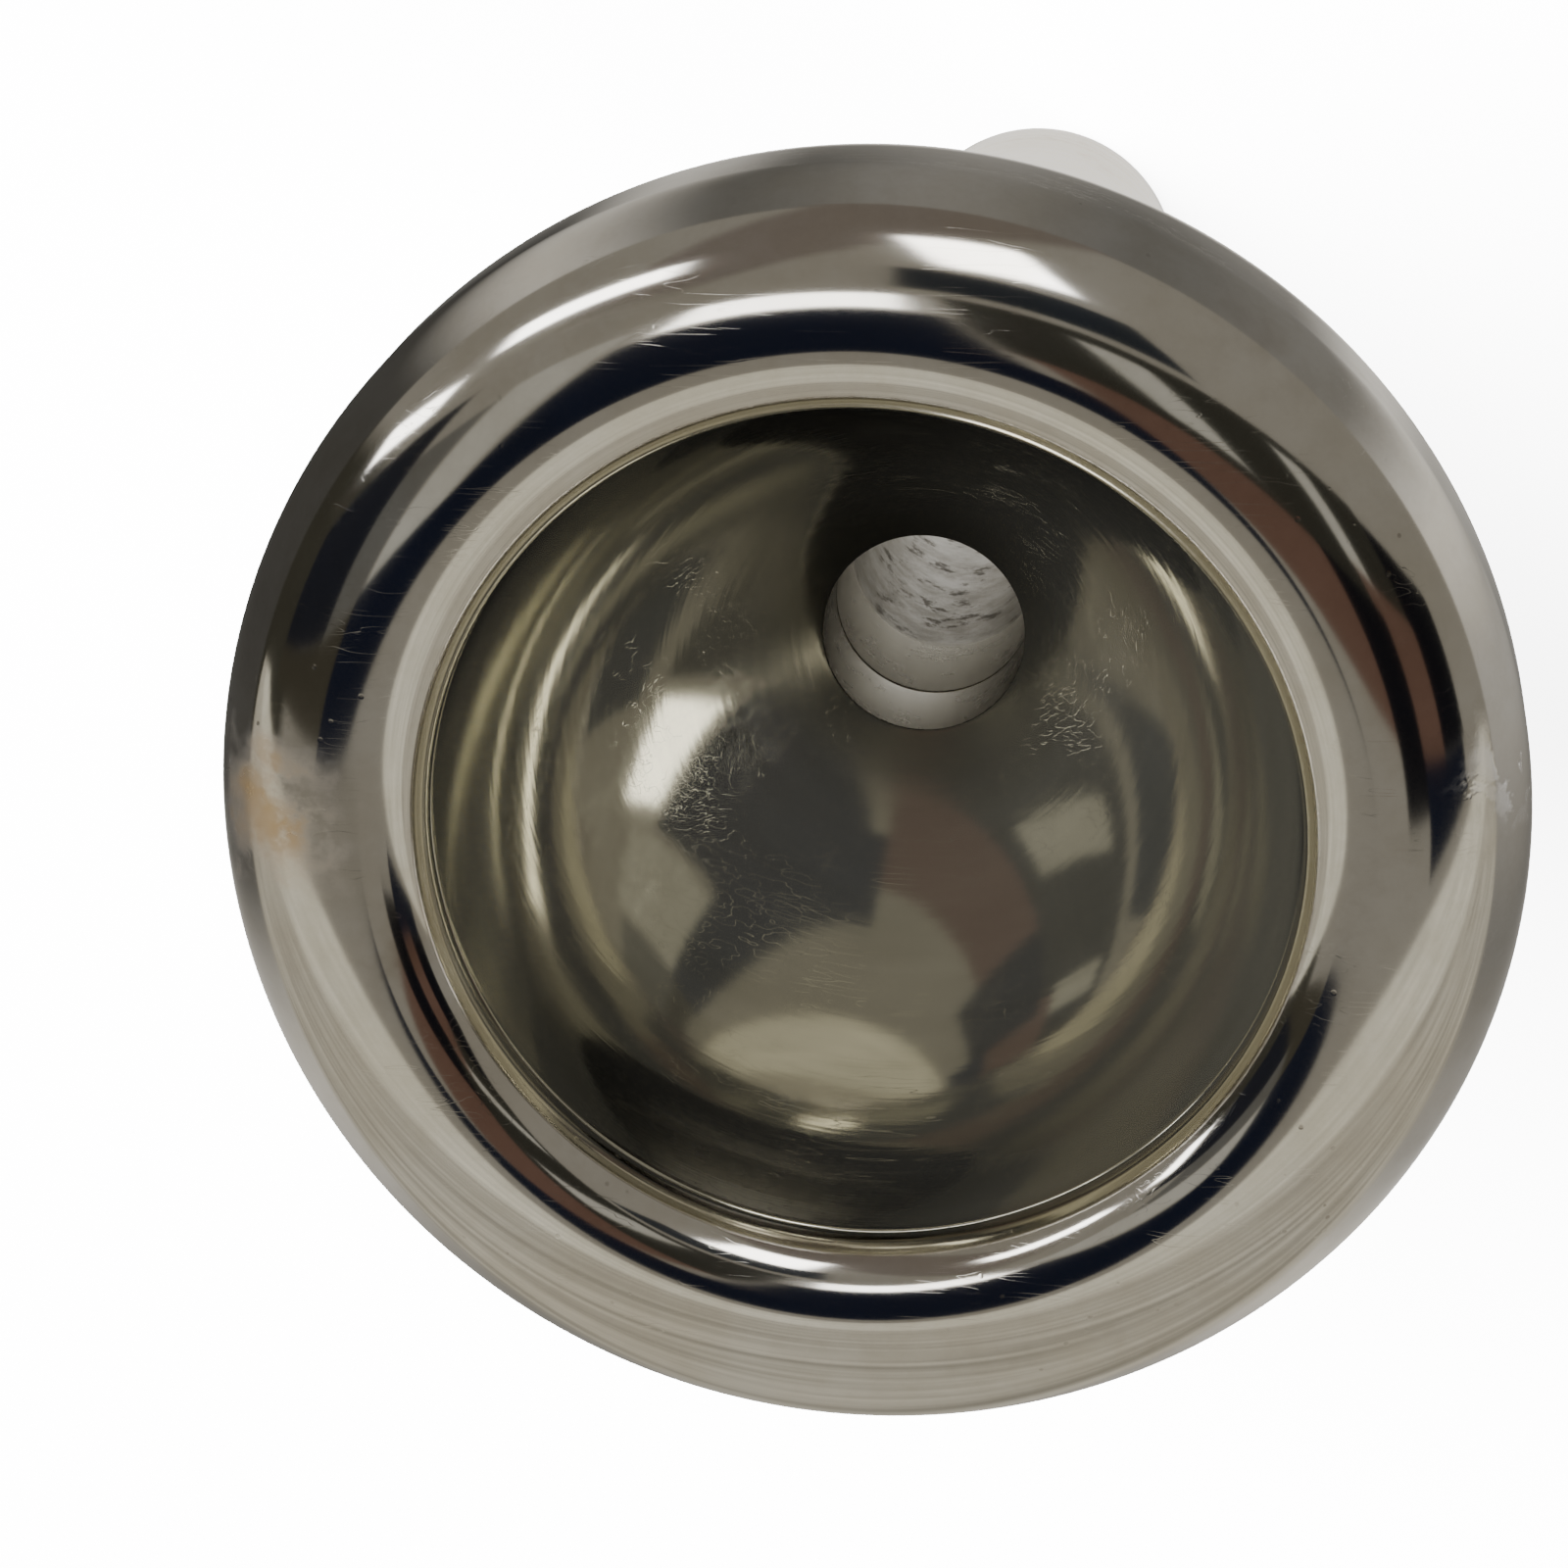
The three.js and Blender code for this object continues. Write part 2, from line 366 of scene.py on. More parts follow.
# %% [markdown]
# ## The rim
#
# The rim is what the player feels. Its face rises steeply from the bite edge to a crest about a third of
# the way out, and then rolls over in one long curve to the outer band. Two quarter ellipses that meet
# level at the crest give that shape with no flat spot.

# %% Turn the rim
def make_rim():
    crest_radius = bite_radius + crest_inset
    shoulder_z = bite_z - shoulder_depth
    band_bottom = shoulder_z - band_height
    under_drop = band_bottom - rim_joint.mouth
    under_width = rim_radius - cup_radius
    bite_rounding = 0.26
    points_in_rounding = 5
    inner = ellipse_arc((crest_radius, bite_z), (crest_inset, crest_height), 180, 90, steps=36)
    outer_half_sizes = (rim_radius - crest_radius, crest_z - shoulder_z)
    outer = ellipse_arc((crest_radius, shoulder_z), outer_half_sizes, 90, 0, steps=56)
    underside = cubic(
        (rim_radius, band_bottom),
        (rim_radius, band_bottom - under_drop / 2),
        (cup_radius + under_width / 2, rim_joint.mouth),
        (cup_radius, rim_joint.mouth),
        steps=24,
    )
    corners = [
        *socket(rim_joint, bite_radius),
        (bite_radius, bite_z, bite_rounding),
        *plain(inner[points_in_rounding:]),
        *plain(outer[1:]),
        *plain(underside[:-1]),
        (cup_radius, rim_joint.mouth, 0.08),
    ]
    piece = turned("screw_rim", corners, steps=256)
    cut_female_thread(piece, rim_joint)
    return piece


screw_rim = make_rim()

# %% [markdown]
# ## The cup
#
# The bowl drops almost straight from the bite edge, turns in, and ends as a funnel at the throat. One
# cubic curve does it: its first pull points down the wall, and its second lies along the funnel. The
# throat's edge is the sharpest edge of the whole mouthpiece, so its rounding is tiny.

# %% Turn the cup
def make_cup():
    pull = bowl_lower_fullness
    bowl = cubic(
        (throat_radius, throat_z),
        (throat_radius + pull * math.cos(funnel_angle), throat_z + pull * math.sin(funnel_angle)),
        (bite_radius, bite_z - bowl_upper_fullness),
        (bite_radius, rim_joint.top),
        steps=72,
    )
    outside = cubic(
        (cup_radius, rim_joint.shoulder),
        (cup_radius, rim_joint.shoulder - cup_top_pull),
        (waist_radius, shank_joint.step + cup_waist_pull),
        (waist_radius, shank_joint.step),
        steps=56,
    )
    corners = [
        *spigot(rim_joint, bite_radius),
        (cup_radius, rim_joint.shoulder, 0.12),
        *plain(outside[1:]),
        (waist_radius, shank_joint.mouth, 0.3),
        *socket(shank_joint, throat_radius),
        (throat_radius, throat_z, 0.05),
        *plain(bowl[1:-1]),
    ]
    piece = turned("bowl_cup", corners, steps=256)
    add_male_thread(piece, rim_joint)
    cut_female_thread(piece, shank_joint)
    return piece


bowl_cup = make_cup()

# %% [markdown]
# ## The shank
#
# The shank carries the rest of the throat and the backbore, which opens slowly to the end. Outside, a
# collar meets the cup, a cove runs down from it, and the stem tapers at the rate that receivers use.

# %% Turn the shank
def make_shank():
    collar_bottom = shank_joint.shoulder - collar_height
    stem_top = collar_bottom - cove_height
    stem_top_radius = shank_end_radius + stem_top * shank_taper / 2
    straight_end = throat_z - throat_length
    cove_pull = 0.3
    cove = cubic(
        (waist_radius, collar_bottom),
        (stem_top_radius + cove_pull, collar_bottom),
        (stem_top_radius, collar_bottom - cove_pull),
        (stem_top_radius, stem_top),
        steps=20,
    )
    stem_parts = 12
    stem = []
    for part in range(1, stem_parts):
        share = part / stem_parts
        stem.append(
            (stem_top_radius + (shank_end_radius - stem_top_radius) * share, stem_top * (1 - share))
        )
    opening_radius = throat_radius + (bore_end_radius - throat_radius) * bore_fullness
    backbore = cubic(
        (bore_end_radius, 0),
        (opening_radius, straight_end / 3),
        (throat_radius, 2 * straight_end / 3),
        (throat_radius, straight_end),
        steps=48,
    )
    corners = [
        *spigot(shank_joint, throat_radius),
        (waist_radius, shank_joint.shoulder, 0.3),
        (waist_radius, collar_bottom, 0.25),
        *plain(cove[1:]),
        *plain(stem),
        (shank_end_radius, 0, 0.3),
        (bore_end_radius, 0, 0.15),
        *plain(backbore[1:]),
    ]
    piece = turned("tapered_shank", corners, steps=240)
    add_male_thread(piece, shank_joint)
    return piece


tapered_shank = make_shank()

# %% [markdown]
# ## The O-rings
#
# Each O-ring is a moulded rubber ring. The mould leaves a faint flash line round its middle, inside and
# out, so the outline is a circle with two tiny ridges.

# %% Mould an O-ring
def make_seal(name, joint):
    centre_radius = joint.landing_radius + seal_gap + seal_section / 2
    centre_z = (joint.groove_top + joint.groove_bottom) / 2
    flash = 0.03
    section_steps = 36
    points = []
    for step in range(section_steps):
        angle = 2 * math.pi * step / section_steps
        at_flash = step % (section_steps // 2) == 0
        radius = seal_section / 2 - (0 if at_flash else flash)
        points.append((centre_radius + radius * math.cos(angle), centre_z + radius * math.sin(angle)))
    return turned(name, plain(points), steps=160)


rim_o_ring = make_seal("rim_o_ring", rim_joint)
shank_o_ring = make_seal("shank_o_ring", shank_joint)

# %% [markdown]
# ## Smooth shading
#
# Polished metal shows every facet, so the long curves are shaded smooth. Edges that turn by more than
# about 35 degrees, such as thread crests and shoulders, stay crisp.

# %% Shade the pieces
crisp_angle = math.radians(35)
made_pieces = [screw_rim, bowl_cup, tapered_shank, rim_o_ring, shank_o_ring]
for piece in made_pieces:
    select_only(piece)
    bpy.ops.object.shade_smooth_by_angle(angle=crisp_angle)
print("shaded", [piece.name for piece in made_pieces])

# %% [markdown]
# ## Building a material from expressions
#
# A finish is easier to read as arithmetic than as boxes and wires. `Wire` wraps an output socket, so that
# `1 - mask * 0.5` adds its own Math nodes. `Finish` holds one material: `node` adds any other node, and
# `done` plugs what was worked out into the metal shader.

# %% Define the two helpers
relief_depth = 0.05 * MM


class Wire:
    """A node output that can be used in Python arithmetic."""

    def __init__(self, finish, socket):
        self.finish = finish
        self.socket = socket

    def math(self, operation, *values):
        return self.finish.node("ShaderNodeMath", {"operation": operation}, dict(enumerate(values)))

    def __add__(self, other):
        return self.math("ADD", self, other)

    __radd__ = __add__

    def __mul__(self, other):
        return self.math("MULTIPLY", self, other)

    __rmul__ = __mul__

    def __sub__(self, other):
        return self.math("SUBTRACT", self, other)

    def __rsub__(self, other):
        return self.math("SUBTRACT", other, self)

    def __truediv__(self, other):
        return self.math("DIVIDE", self, other)

    def __pow__(self, other):
        return self.math("POWER", self, other)

    def __abs__(self):
        return self.math("ABSOLUTE", self)

    def at_most(self, other):
        return self.math("MINIMUM", self, other)

    def ramp(self, low, high):
        """0 below low, 1 above high, and a smooth rise between them. low may be the larger."""
        settings = {"interpolation_type": "SMOOTHSTEP"}
        if low < high:
            return self.finish.node(
                "ShaderNodeMapRange", settings, {"Value": self, "From Min": low, "From Max": high}
            )
        return 1 - self.ramp(high, low)


class Finish:
    """A material being built."""

    def __init__(self, name):
        self.material = bpy.data.materials.new(name)
        self.material.use_nodes = True
        self.tree = self.material.node_tree
        self.shader = self.tree.nodes["Principled BSDF"]
        self.place = self.node("ShaderNodeTexCoord", {}, {}, out="Object")
        axes = self.tree.nodes.new("ShaderNodeSeparateXYZ")
        self.connect(axes.inputs[0], self.place)
        self.x, self.y, self.z = (Wire(self, socket) for socket in axes.outputs)
        self.radius = (self.x * self.x + self.y * self.y) ** 0.5

    def connect(self, target, value):
        if isinstance(value, Wire):
            self.tree.links.new(value.socket, target)
        elif isinstance(value, (tuple, list)) and len(target.default_value) == 4:
            target.default_value = (*value, 1)
        else:
            target.default_value = value

    def node(self, kind, settings, values, out=0):
        """Adds a node, makes its settings, then fills or links its inputs."""
        made = self.tree.nodes.new(kind)
        for name, value in settings.items():
            setattr(made, name, value)
        for name, value in values.items():
            self.connect(made.inputs[name], value)
        return Wire(self, made.outputs[out])

    def vector(self, x, y, z):
        return self.node("ShaderNodeCombineXYZ", {}, {0: x, 1: y, 2: z})

    def noise(self, vector, scale, detail=2.0, roughness=0.5):
        values = {"Vector": vector, "Scale": scale, "Detail": detail, "Roughness": roughness}
        return self.node("ShaderNodeTexNoise", {}, values)

    def blend(self, share, start, end):
        """A colour that goes from start to end as share goes from 0 to 1."""
        values = {0: share, 6: start, 7: end}
        return self.node("ShaderNodeMix", {"data_type": "RGBA"}, values, out=2)

    def round_noise(self, across, around):
        """Noise in rings: across is its rate over the outline, and around its rate round the axis."""
        values = {
            "Vector": self.vector(
                self.x / self.radius * around, self.y / self.radius * around, self.radius * across
            ),
            "W": self.z * across,
            "Scale": 1.0,
            "Detail": 3.0,
        }
        return self.node("ShaderNodeTexNoise", {"noise_dimensions": "4D"}, values)

    def scratches(self, turn, length_rate, width_rate, fineness, patchiness):
        """Fine lines in one direction: the level lines of a stretched noise, broken up into patches."""
        turned_place = self.node(
            "ShaderNodeMapping",
            {},
            {"Vector": self.place, "Rotation": turn, "Scale": (length_rate, width_rate, width_rate)},
        )
        lines = abs(self.noise(turned_place, 1.0, detail=1.0) - 0.5).ramp(fineness, 0.0)
        patches = self.noise(self.place, patchiness).ramp(0.56, 0.76)
        return lines * patches

    def done(self, colour, roughness, height, metallic=1.0, bump=0.2):
        """Plugs the finish into the shader. height drives a Bump node."""
        values = {"Strength": bump, "Distance": relief_depth, "Height": height}
        slope = self.node("ShaderNodeBump", {}, values)
        for name, value in (
            ("Base Color", colour),
            ("Roughness", roughness),
            ("Metallic", metallic),
            ("Normal", slope),
        ):
            self.connect(self.shader.inputs[name], value)
        print("finish:", self.material.name, len(self.tree.nodes), "nodes")
        return self.material


# %% [markdown]
# ## Worn silver plate
#
# Silver plate is a mirror with a memory. It keeps faint rings from the lathe, hairline scratches from
# years of handling, a slight haze where fingers polish it less, and brown tarnish where they never do.
# The rings and scratches are so shallow that they change the roughness more than the shape.

# %% Make the rim's finish
silver = (0.87, 0.85, 0.805)
warm_silver = (0.80, 0.765, 0.69)
clouded_silver = (0.70, 0.665, 0.60)
bruised_silver = (0.80, 0.79, 0.78)
tarnish_brown = (0.34, 0.25, 0.13)
worn_brown = (0.30, 0.19, 0.08)
pit_grey = (0.22, 0.19, 0.16)


def hairlines(finish):
    """Scratches in four directions, as handling leaves them."""
    turns = ((0.1, 0.2, 0.3), (0.4, 0.1, 1.3), (0.2, 0.5, 2.2), (0.9, 0.3, 2.9))
    total = 0
    for index, turn in enumerate(turns):
        total = finish.scratches(turn, 60, 2400, 0.004, 200 + 60 * index) + total
    return total.at_most(1)


def near(finish, point, reach):
    """1 at a point given in millimetres, falling to 0 at this reach, with a ragged edge."""
    away = (
        (finish.x / MM - point[0]) ** 2
        + (finish.y / MM - point[1]) ** 2
        + (finish.z / MM - point[2]) ** 2
    ) ** 0.5
    ragged = away + finish.noise(finish.place, 700, detail=4.0) * reach
    return ragged.ramp(reach * 1.25, reach * 0.6)


def rim_finish():
    finish = Finish("silver_plate_rim")
    rings = finish.round_noise(2600, 1.2)
    haze = finish.noise(finish.place, 160, detail=5.0, roughness=0.65)
    cloud = finish.noise(finish.place, 480, detail=4.0, roughness=0.7)
    lines = hairlines(finish)
    pits = finish.node(
        "ShaderNodeTexVoronoi", {}, {"Vector": finish.place, "Scale": 1300, "Randomness": 1.0}
    ).ramp(0.13, 0.06)
    pits = pits * finish.noise(finish.place, 120, detail=3.0).ramp(0.58, 0.72)
    worn_spot = near(finish, (-17.1, 0.4, 81.9), 3.9)
    nick = near(finish, (18.0, 2.6, 80.8), 2.8) * cloud.ramp(0.52, 0.57)
    tarnish = finish.noise(finish.place, 90, detail=5.0, roughness=0.7).ramp(0.60, 0.80)
    worn_spot = worn_spot * cloud.ramp(0.34, 0.58)
    tarnish = (tarnish * 0.35 + worn_spot * 0.9).at_most(1)
    colour = finish.blend(haze.ramp(0.35, 0.7), silver, warm_silver)
    colour = finish.blend(cloud.ramp(0.35, 0.75) * 0.5, colour, clouded_silver)
    colour = finish.blend(tarnish, colour, tarnish_brown)
    colour = finish.blend(worn_spot * 0.6, colour, worn_brown)
    colour = finish.blend(pits * 0.6, colour, pit_grey)
    colour = finish.blend(nick * 0.8, colour, bruised_silver)
    wear = 0.12 * lines + 0.10 * tarnish + 0.2 * pits + 0.15 * nick + 0.06 * worn_spot
    roughness = 0.035 + 0.05 * haze + 0.03 * cloud + 0.03 * rings + wear
    height = rings * 0.2 + cloud * 0.1 - lines * 0.35 - pits * 1.5 - nick * 1.2
    metallic = 1 - 0.05 * worn_spot - 0.035 * nick
    return finish.done(colour, roughness, height, metallic=metallic, bump=0.10)


# %% Make the bowl's finish
grey_bowl_silver = (0.66, 0.645, 0.56)
pale_bowl_silver = (0.73, 0.715, 0.63)
deep_bowl_silver = (0.52, 0.50, 0.42)
# Painted shadow: this dark olive stands in for the shade that falls round the throat.
throat_shadow_olive = (0.30, 0.285, 0.215)
speck_silver = (0.72, 0.70, 0.62)


def bowl_finish():
    finish = Finish("silver_plate_bowl")
    rings = finish.round_noise(3600, 0.9)
    broad_rings = finish.round_noise(900, 1.5)
    haze = finish.noise(finish.place, 220, detail=4.0, roughness=0.65)
    lines = hairlines(finish)
    depth = (finish.z / MM).ramp(bite_z, throat_z)
    specks = finish.node(
        "ShaderNodeTexVoronoi", {}, {"Vector": finish.place, "Scale": 1500, "Randomness": 1.0}
    ).ramp(0.11, 0.05)
    specks = specks * finish.noise(finish.place, 260, detail=2.0).ramp(0.62, 0.90)
    colour = finish.blend(broad_rings.ramp(0.3, 0.75), grey_bowl_silver, pale_bowl_silver)
    colour = finish.blend(depth * 0.25, colour, deep_bowl_silver)
    # Painted shadow round the throat: a dark olive ring in the colour where the bowl's shade falls, and
    # the same ring also makes the surface rougher.
    shaded_dull_ring = (finish.radius / MM + haze * 1.4).ramp(throat_radius + 3.6, throat_radius + 0.9)
    colour = finish.blend(shaded_dull_ring * 0.6, colour, throat_shadow_olive)
    colour = finish.blend(specks * 0.7, colour, speck_silver)
    wear = 0.10 * lines + 0.2 * specks + 0.08 * shaded_dull_ring
    roughness = 0.015 + 0.06 * haze + 0.04 * rings + wear
    height = rings * 0.35 + broad_rings * 0.25 - lines * 0.6 + specks * 0.3
    metallic = 0.994 - specks * 0.03
    return finish.done(colour, roughness, height, metallic=metallic, bump=0.14)


# %% Make the finish of the bore, the threads and the other inner faces
bright_bore_silver = (0.80, 0.79, 0.76)
mottled_bore_silver = (0.60, 0.58, 0.53)
throat_silver = (0.52, 0.50, 0.44)
bore_stain = (0.26, 0.22, 0.18)
bare_brass = (0.74, 0.70, 0.60)
thread_grime = (0.34, 0.29, 0.20)


def bore_finish():
    finish = Finish("silver_plate_bore")
    rings = finish.round_noise(3000, 2.0)
    mottle = finish.noise(finish.place, 700, detail=4.0, roughness=0.7)
    stains = finish.noise(finish.place, 760, detail=4.0, roughness=0.7).ramp(0.55, 0.66)
    straight_end = throat_z - throat_length
    throat = (finish.z / MM).ramp(straight_end, straight_end + 0.7)
    stains = stains * (1 - throat)
    colour = finish.blend(mottle.ramp(0.3, 0.7), bright_bore_silver, mottled_bore_silver)
    colour = finish.blend(stains * 0.5, colour, bore_stain)
    colour = finish.blend(throat, colour, throat_silver)
    roughness = 0.34 + 0.16 * mottle + 0.15 * stains - 0.16 * throat
    height = rings * 0.5 + mottle * 0.6
    return finish.done(colour, roughness, height, bump=0.25)


def thread_finish():
    finish = Finish("plated_thread")
    rings = finish.round_noise(2200, 1.0)
    grime = finish.noise(finish.place, 900, detail=5.0, roughness=0.7).ramp(0.45, 0.85)
    colour = finish.blend(grime * 0.6, bare_brass, thread_grime)
    roughness = 0.24 + 0.12 * rings + 0.18 * grime
    return finish.done(colour, roughness, rings - grime * 0.4, bump=0.2)


# %% Make the outside finish of the cup and the shank
crook_brown = (0.35, 0.27, 0.16)
fit_zone_top, fit_zone_full = 27, 21


def outside_finish():
    finish = Finish("silver_plate_outside")
    rings = finish.round_noise(2400, 1.0)
    haze = finish.noise(finish.place, 130, detail=4.0, roughness=0.6)
    lines = hairlines(finish)
    fit_marks = finish.round_noise(7000, 0.5).ramp(0.5, 0.62)
    fit_zone = (finish.z / MM).ramp(fit_zone_top, fit_zone_full)
    tarnish = finish.noise(finish.place, 110, detail=5.0, roughness=0.7).ramp(0.58, 0.78)
    crook = (abs(finish.z / MM - shank_joint.mouth).ramp(1.6, 0.0) * haze).at_most(1)
    colour = finish.blend(haze.ramp(0.35, 0.7), silver, warm_silver)
    colour = finish.blend(tarnish * 0.5, colour, tarnish_brown)
    colour = finish.blend(crook * 0.5, colour, crook_brown)
    scuffs = fit_marks * fit_zone
    wear = 0.14 * lines + 0.15 * scuffs + 0.12 * tarnish
    roughness = 0.07 + 0.06 * haze + 0.04 * rings + wear
    height = rings * 0.25 - lines * 0.8 - scuffs * 0.5
    return finish.done(colour, roughness, height, bump=0.12)


# %% Make the rubber
rubber_black = (0.012, 0.012, 0.012)
bloom_grey = (0.05, 0.048, 0.045)


def rubber_finish():
    finish = Finish("black_rubber")
    bloom = finish.noise(finish.place, 900, detail=4.0, roughness=0.7)
    colour = finish.blend(bloom.ramp(0.4, 0.75), rubber_black, bloom_grey)
    roughness = 0.42 + 0.25 * bloom
    finish.shader.inputs["Specular IOR Level"].default_value = 0.45
    return finish.done(colour, roughness, bloom, metallic=0.0, bump=0.3)


# %% [markdown]
# ## Giving each surface its finish
#
# One piece carries several finishes: the cup is bright outside, darker in the bowl, and plainer in its
# bore and threads. Each piece gets its materials in slots, and each face picks its slot by where it lies.

# %% Assign the finishes by place
rim_silver = rim_finish()
bowl_silver = bowl_finish()
bore_silver = bore_finish()
thread_silver = thread_finish()
outside_silver = outside_finish()
black_rubber = rubber_finish()


def paint(piece, materials, choose):
    for material in materials:
        piece.data.materials.append(material)
    counts = [0] * len(materials)
    for face in piece.data.polygons:
        centre = face.center / MM
        face.material_index = choose(math.hypot(centre.x, centre.y), centre.z)
        counts[face.material_index] += 1
    print(piece.name, "faces by finish:", counts)


hair = 0.02
collar_margin = 0.35
upright_wall = 12
wall_start, wall_narrowing = 0.9, 6.2


def rim_surface(radius, z):
    """0 for the rim's own finish, 1 for the threads and the seat inside the skirt."""
    inside_skirt = z < rim_joint.seat + hair / 2 and bite_radius + hair < radius < cup_radius - hair
    return 1 if inside_skirt else 0


def cup_surface(radius, z):
    """0 outside, 1 in the bowl, 2 on the joints' faces, 3 in the bore."""
    in_bore = radius < throat_radius + hair
    if z > rim_joint.shoulder + hair / 2 and radius > bite_radius + 5 * hair:
        return 2
    if z < shank_joint.seat + hair / 2 and radius < waist_radius - collar_margin:
        return 3 if in_bore else 2
    if z < throat_z and in_bore:
        return 3
    upright_end = bite_z - upright_wall
    if z > upright_end:
        return 1 if radius < (bite_radius + cup_radius) / 2 else 0
    depth_share = (upright_end - z) / (upright_end - throat_z)
    inner_limit = bite_radius + wall_start - depth_share * wall_narrowing
    return 1 if z > throat_z - hair / 2 and radius < inner_limit else 0


def shank_surface(radius, z):
    """0 outside, 1 on the joint's faces, 2 in the bore."""
    if z > shank_joint.shoulder + hair / 2:
        return 1 if radius > throat_radius + hair else 2
    bore_limit = throat_radius + (bore_end_radius - throat_radius) * 1.02
    return 2 if radius < bore_limit and z > 0.001 else 0


paint(screw_rim, [rim_silver, thread_silver], rim_surface)
paint(bowl_cup, [outside_silver, bowl_silver, thread_silver, bore_silver], cup_surface)
paint(tapered_shank, [outside_silver, thread_silver, bore_silver], shank_surface)
for ring in (rim_o_ring, shank_o_ring):
    paint(ring, [black_rubber], lambda radius, z: 0)

# %% [markdown]
# ## Putting the pieces on the working model
#
# Every piece rides on the body that moves it and stands in for its solid in the working model.

# %% Tie each piece to its body and its solid
for piece, body, material_slot in (
    (screw_rim, "rim", "rim_plating"),
    (rim_o_ring, "rim_seal", "seal_rubber"),
    (bowl_cup, "cup", "cup_plating"),
    (shank_o_ring, "shank_seal", "seal_rubber"),
    (tapered_shank, "shank", "shank_plating"),
):
    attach(piece, body)
    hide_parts(body)
    print(piece.name, "rides on", body)

# %% [markdown]
# ## The camera
#
# The camera looks down into the cup from about twenty degrees off the axis, and close, so the shank's
# far end just shows behind the rim. Its place is given from the middle of the rim, at its crest's height.

# %% Place the camera
def place_camera():
    rim_centre = Vector((0, 0, crest_z))
    eye = rim_centre + Vector((12.02, 42.19, 117.06))
    target = rim_centre + Vector((-2.20, 1.67, -1.3))
    forward = (target - eye).normalized()
    right = forward.cross(Vector((0, 1, 0))).normalized()
    up = right.cross(forward)
    camera = bpy.data.objects.new("camera", bpy.data.cameras.new("camera"))
    camera.data.sensor_width = 36
    camera.data.lens = 99.5
    camera.data.clip_start = 0.001
    camera.data.clip_end = 20
    camera.matrix_world = Matrix.Translation(eye * MM) @ Matrix(
        (right, up, -forward)
    ).transposed().to_4x4()
    bpy.context.scene.collection.objects.link(camera)
    bpy.context.scene.camera = camera
    return camera


camera = place_camera()
print("camera", [round(v / MM, 1) for v in camera.location])

# %% [markdown]
# ## The studio
#
# Polished metal has no colour of its own to speak of: it shows the studio. So the studio is built for
# the reflections. A warm grey room surrounds the piece, a pale table lies along its lower side, dark
# boards hang round the camera, and a few softboxes give the highlights. The floor glows in soft sectors,
# which run up the outside as stripes. The camera sees none of them. It sees a plain white floor and
# backdrop, which in turn the metal doesn't see.

# %% Make a glowing surface
def add_node(tree, kind, **settings):
    node = tree.nodes.new(kind)
    for name, value in settings.items():
        setattr(node, name, value)
    return node


def spread(tree, value, low, high, start, end):
    """Links a Map Range node that takes low..high smoothly to start..end, and returns its output."""
    node = add_node(tree, "ShaderNodeMapRange", interpolation_type="SMOOTHSTEP")
    for name, number in (("From Min", low), ("From Max", high), ("To Min", start), ("To Max", end)):
        node.inputs[name].default_value = number
    tree.links.new(value, node.inputs["Value"])
    return node.outputs[0]


def edge_cover(tree, place, soft):
    """1 over the middle of a card one unit wide, falling to 0 over this share of it at its edges."""
    axes = add_node(tree, "ShaderNodeSeparateXYZ")
    tree.links.new(place, axes.inputs[0])
    cover = add_node(tree, "ShaderNodeMath", operation="MULTIPLY")
    for index in (0, 1):
        size = add_node(tree, "ShaderNodeMath", operation="ABSOLUTE")
        tree.links.new(axes.outputs[index], size.inputs[0])
        tree.links.new(spread(tree, size.outputs[0], 0.5 - soft, 0.5, 1, 0), cover.inputs[index])
    return cover.outputs[0]


def glow(name, colour, strength=1.0, grain=0.0, soft=0.0):
    """A glowing surface: plain, patchy, or fading out at its edges."""
    material = bpy.data.materials.new(name)
    material.use_nodes = True
    tree = material.node_tree
    tree.nodes.clear()
    surface = add_node(tree, "ShaderNodeOutputMaterial").inputs["Surface"]
    emission = add_node(tree, "ShaderNodeEmission")
    emission.inputs["Color"].default_value = (*colour, 1)
    emission.inputs["Strength"].default_value = strength
    place = add_node(tree, "ShaderNodeTexCoord").outputs["Object"]
    if grain:
        noise = add_node(tree, "ShaderNodeTexNoise")
        noise.inputs["Scale"].default_value = 30
        noise.inputs["Detail"].default_value = 5
        tree.links.new(place, noise.inputs["Vector"])
        darkest, brightest = strength * (1 - grain), strength * (1 + grain)
        patches = spread(tree, noise.outputs[0], 0.25, 0.75, darkest, brightest)
        tree.links.new(patches, emission.inputs["Strength"])
    if not soft:
        tree.links.new(emission.outputs[0], surface)
        return material
    mix = add_node(tree, "ShaderNodeMixShader")
    tree.links.new(edge_cover(tree, place, soft), mix.inputs[0])
    tree.links.new(add_node(tree, "ShaderNodeBsdfTransparent").outputs[0], mix.inputs[1])
    tree.links.new(emission.outputs[0], mix.inputs[2])
    tree.links.new(mix.outputs[0], surface)
    return material


def only_reflected(thing):
    """Seen in the metal, but not by the camera, and casting no shadow."""
    thing.visible_camera = False
    thing.visible_diffuse = False
    thing.visible_shadow = False


def only_for_camera(thing):
    """Seen by the camera, but not in the metal."""
    thing.visible_glossy = False


# %% Set the room's tone
def set_room(colour):
    world = bpy.data.worlds.new("room")
    world.use_nodes = True
    background = world.node_tree.nodes["Background"]
    background.inputs["Color"].default_value = (*colour, 1)
    background.inputs["Strength"].default_value = 1.0
    bpy.context.scene.world = world


set_room((0.225, 0.211, 0.180))

# %% Hang boards over the rim
near_black = (0.006, 0.006, 0.008)
navy = (0.007, 0.009, 0.018)
olive = (0.026, 0.025, 0.020)
umber = (0.105, 0.062, 0.047)
mid_grey = (0.10, 0.097, 0.088)
pale_grey = (0.36, 0.35, 0.31)
window_white = (1.0, 0.985, 0.96)


